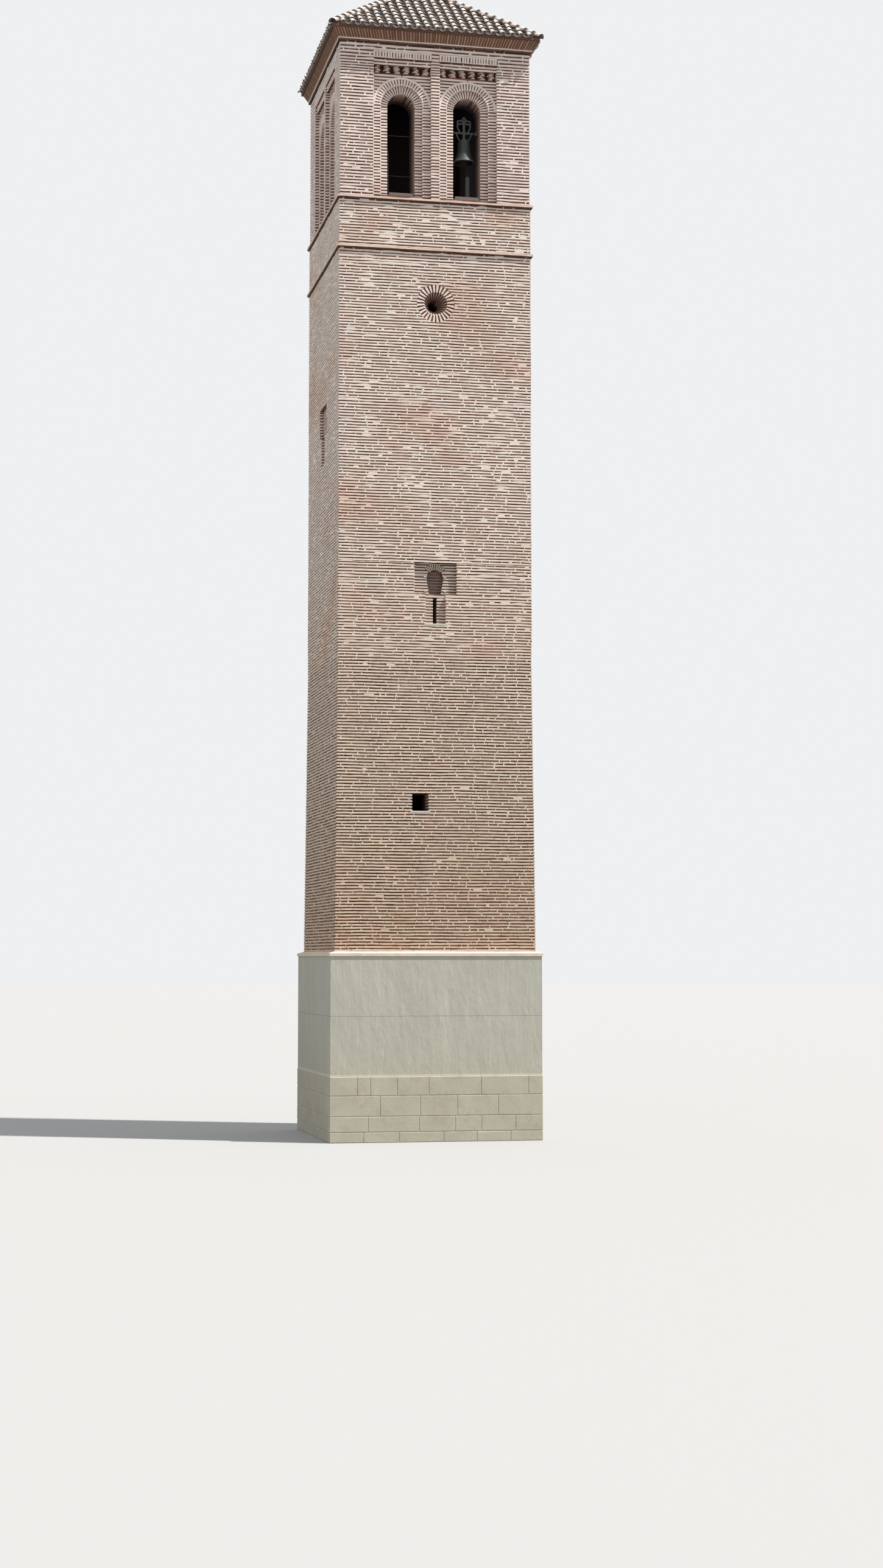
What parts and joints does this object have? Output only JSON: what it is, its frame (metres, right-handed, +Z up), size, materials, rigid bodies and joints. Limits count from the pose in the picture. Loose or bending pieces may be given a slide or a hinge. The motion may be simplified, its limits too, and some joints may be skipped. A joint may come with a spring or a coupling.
{
  "type": "brick bell tower",
  "caption": "Tall square brick bell tower: granite and rendered foot, plain shaft, paired-arch belfry with a hung bell, sawtooth friezes and a hipped roof.",
  "frame": {"origin": "centre of the flat underside at the lowest ground point", "axes": "+Z up, the face with the bell towards -Y, +X to the right seen from the front"},
  "size_m": [5.35, 5.35, 29.96],
  "materials": {
    "granite": "rough ashlar",
    "render": "streaked lime render",
    "coping_stone": "weathered",
    "brick": "thin brick in wide mortar beds",
    "cornice_brick": "brick on edge",
    "floor_brick": "worn brick paving",
    "sill_stone": "weathered",
    "roof_tile": "sun-bleached barrel tile",
    "bronze": "green-grey patina",
    "painted_iron": "dull grey"
  },
  "bodies": {
    "tower": {"granite_socle": "granite", "rendered_plinth": "render", "plinth_coping": "coping_stone", "lower_string_course": "brick", "plain_band": "brick", "upper_string_course": "brick", "belfry_floor": "floor_brick", "belfry_corner_piers": "brick", "belfry_pilasters": "brick", "belfry_head": "brick", "cornice_base_course": "cornice_brick", "cornice_cove": "cornice_brick", "roof_hip_tiles": "roof_tile", "window_surrounds": "brick", "bell_bearings": "painted_iron", "striker_post": "painted_iron", "belfry_sills": "sill_stone", "lower_shaft_front": "brick", "upper_shaft_front": "brick", "belfry_wall_front": "brick", "inner_arches_front": "brick", "sawtooth_frieze_front": "brick", "roof_slope_front": "roof_tile", "lower_shaft_right": "brick", "upper_shaft_right": "brick", "belfry_wall_right": "brick", "inner_arches_right": "brick", "sawtooth_frieze_right": "brick", "roof_slope_right": "roof_tile", "lower_shaft_back": "brick", "upper_shaft_back": "brick", "belfry_wall_back": "brick", "inner_arches_back": "brick", "sawtooth_frieze_back": "brick", "roof_slope_back": "roof_tile", "lower_shaft_left": "brick", "upper_shaft_left": "brick", "belfry_wall_left": "brick", "inner_arches_left": "brick", "sawtooth_frieze_left": "brick", "roof_slope_left": "roof_tile"},
    "bell": {"bell": "bronze", "bell_yoke": "painted_iron"}
  },
  "joints": [
    {"name": "bell_swing", "type": "hinge", "parent": "tower", "child": "bell", "pos_m": [0.848, -1.865, 25.46], "axis": [1, 0, 0], "range_deg": [-50, 50]}
  ]
}
